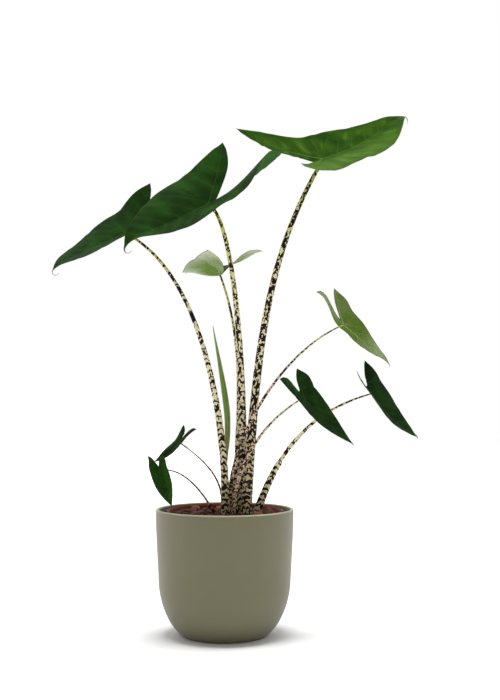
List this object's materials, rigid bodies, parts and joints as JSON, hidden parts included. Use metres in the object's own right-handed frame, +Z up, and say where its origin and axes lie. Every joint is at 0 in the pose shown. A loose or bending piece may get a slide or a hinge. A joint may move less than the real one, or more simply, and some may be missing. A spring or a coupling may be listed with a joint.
{
  "type": "potted plant",
  "caption": "Zebra-stem elephant ear with arrow-shaped leaves on tall banded stalks, growing in a plastic pot that stands in a round ceramic planter.",
  "frame": {"origin": "centre of the planter's flat underside, on the surface it stands on", "axes": "+Z up along the planter's axis; +X to the right and -Y towards the viewer when the plant is seen from its front"},
  "size_m": [0.5573, 0.3006, 0.8098],
  "materials": {
    "planter": "matte",
    "grow_pot": "satin",
    "soil": "matte",
    "leaf_stalk": "satin",
    "leaf_dark_green": "satin",
    "leaf_light_green": "satin",
    "leaf_pale_green": "satin",
    "rolled_leaf": "satin"
  },
  "bodies": {
    "root": {"planter": "planter", "grow_pot": "grow_pot", "soil": "soil", "stalk_upper_left": "leaf_stalk", "blade_upper_left": "leaf_dark_green", "stalk_upper_middle": "leaf_stalk", "blade_upper_middle": "leaf_dark_green", "stalk_upper_right": "leaf_stalk", "blade_upper_right": "leaf_light_green", "stalk_young_back": "leaf_stalk", "blade_young_back": "leaf_pale_green", "stalk_middle_right": "leaf_stalk", "blade_middle_right": "leaf_pale_green", "stalk_lower_front": "leaf_stalk", "blade_lower_front": "leaf_dark_green", "stalk_lower_right": "leaf_stalk", "blade_lower_right": "leaf_dark_green", "stalk_low_left_front": "leaf_stalk", "blade_low_left_front": "leaf_dark_green", "stalk_low_left_back": "leaf_stalk", "blade_low_left_back": "leaf_dark_green", "rolled_leaf": "rolled_leaf"}
  },
  "joints": []
}
